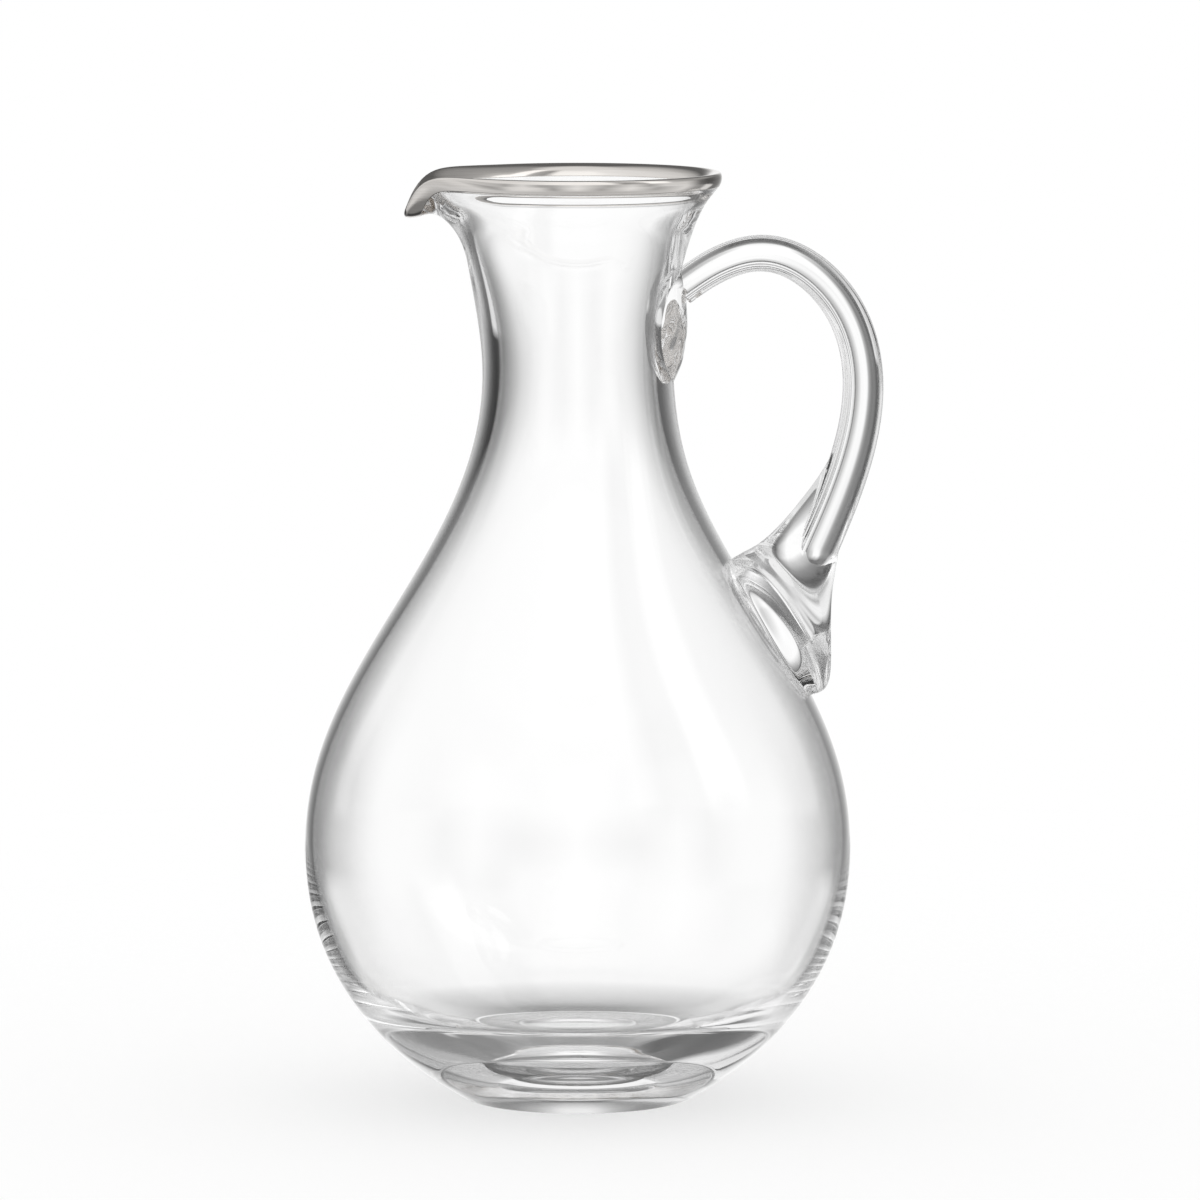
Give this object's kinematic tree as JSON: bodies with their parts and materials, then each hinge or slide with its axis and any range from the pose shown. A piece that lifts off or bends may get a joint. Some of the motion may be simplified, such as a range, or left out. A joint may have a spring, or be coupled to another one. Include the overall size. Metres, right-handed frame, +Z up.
{
  "type": "crystal pitcher",
  "caption": "Blown clear-glass pitcher with a round bowl, drawn-in neck, flared mouth with pulled spout, metal-banded lip and applied loop handle, for pouring drinks.",
  "frame": {"origin": "on the vessel's axis, on the plane that the foot stands on", "axes": "+Z up along the vessel's axis, +X towards the handle, -X towards the spout"},
  "size_m": [0.158, 0.1494, 0.2542],
  "materials": {
    "crystal": "fire-polished clear glass",
    "lip_metal": "fired silver-coloured lustre, polished"
  },
  "bodies": {
    "root": {"vessel": "crystal", "rim_band": "lip_metal", "handle_bow": "crystal", "handle_upper_seat": "crystal", "handle_lower_seat": "crystal"}
  },
  "joints": []
}
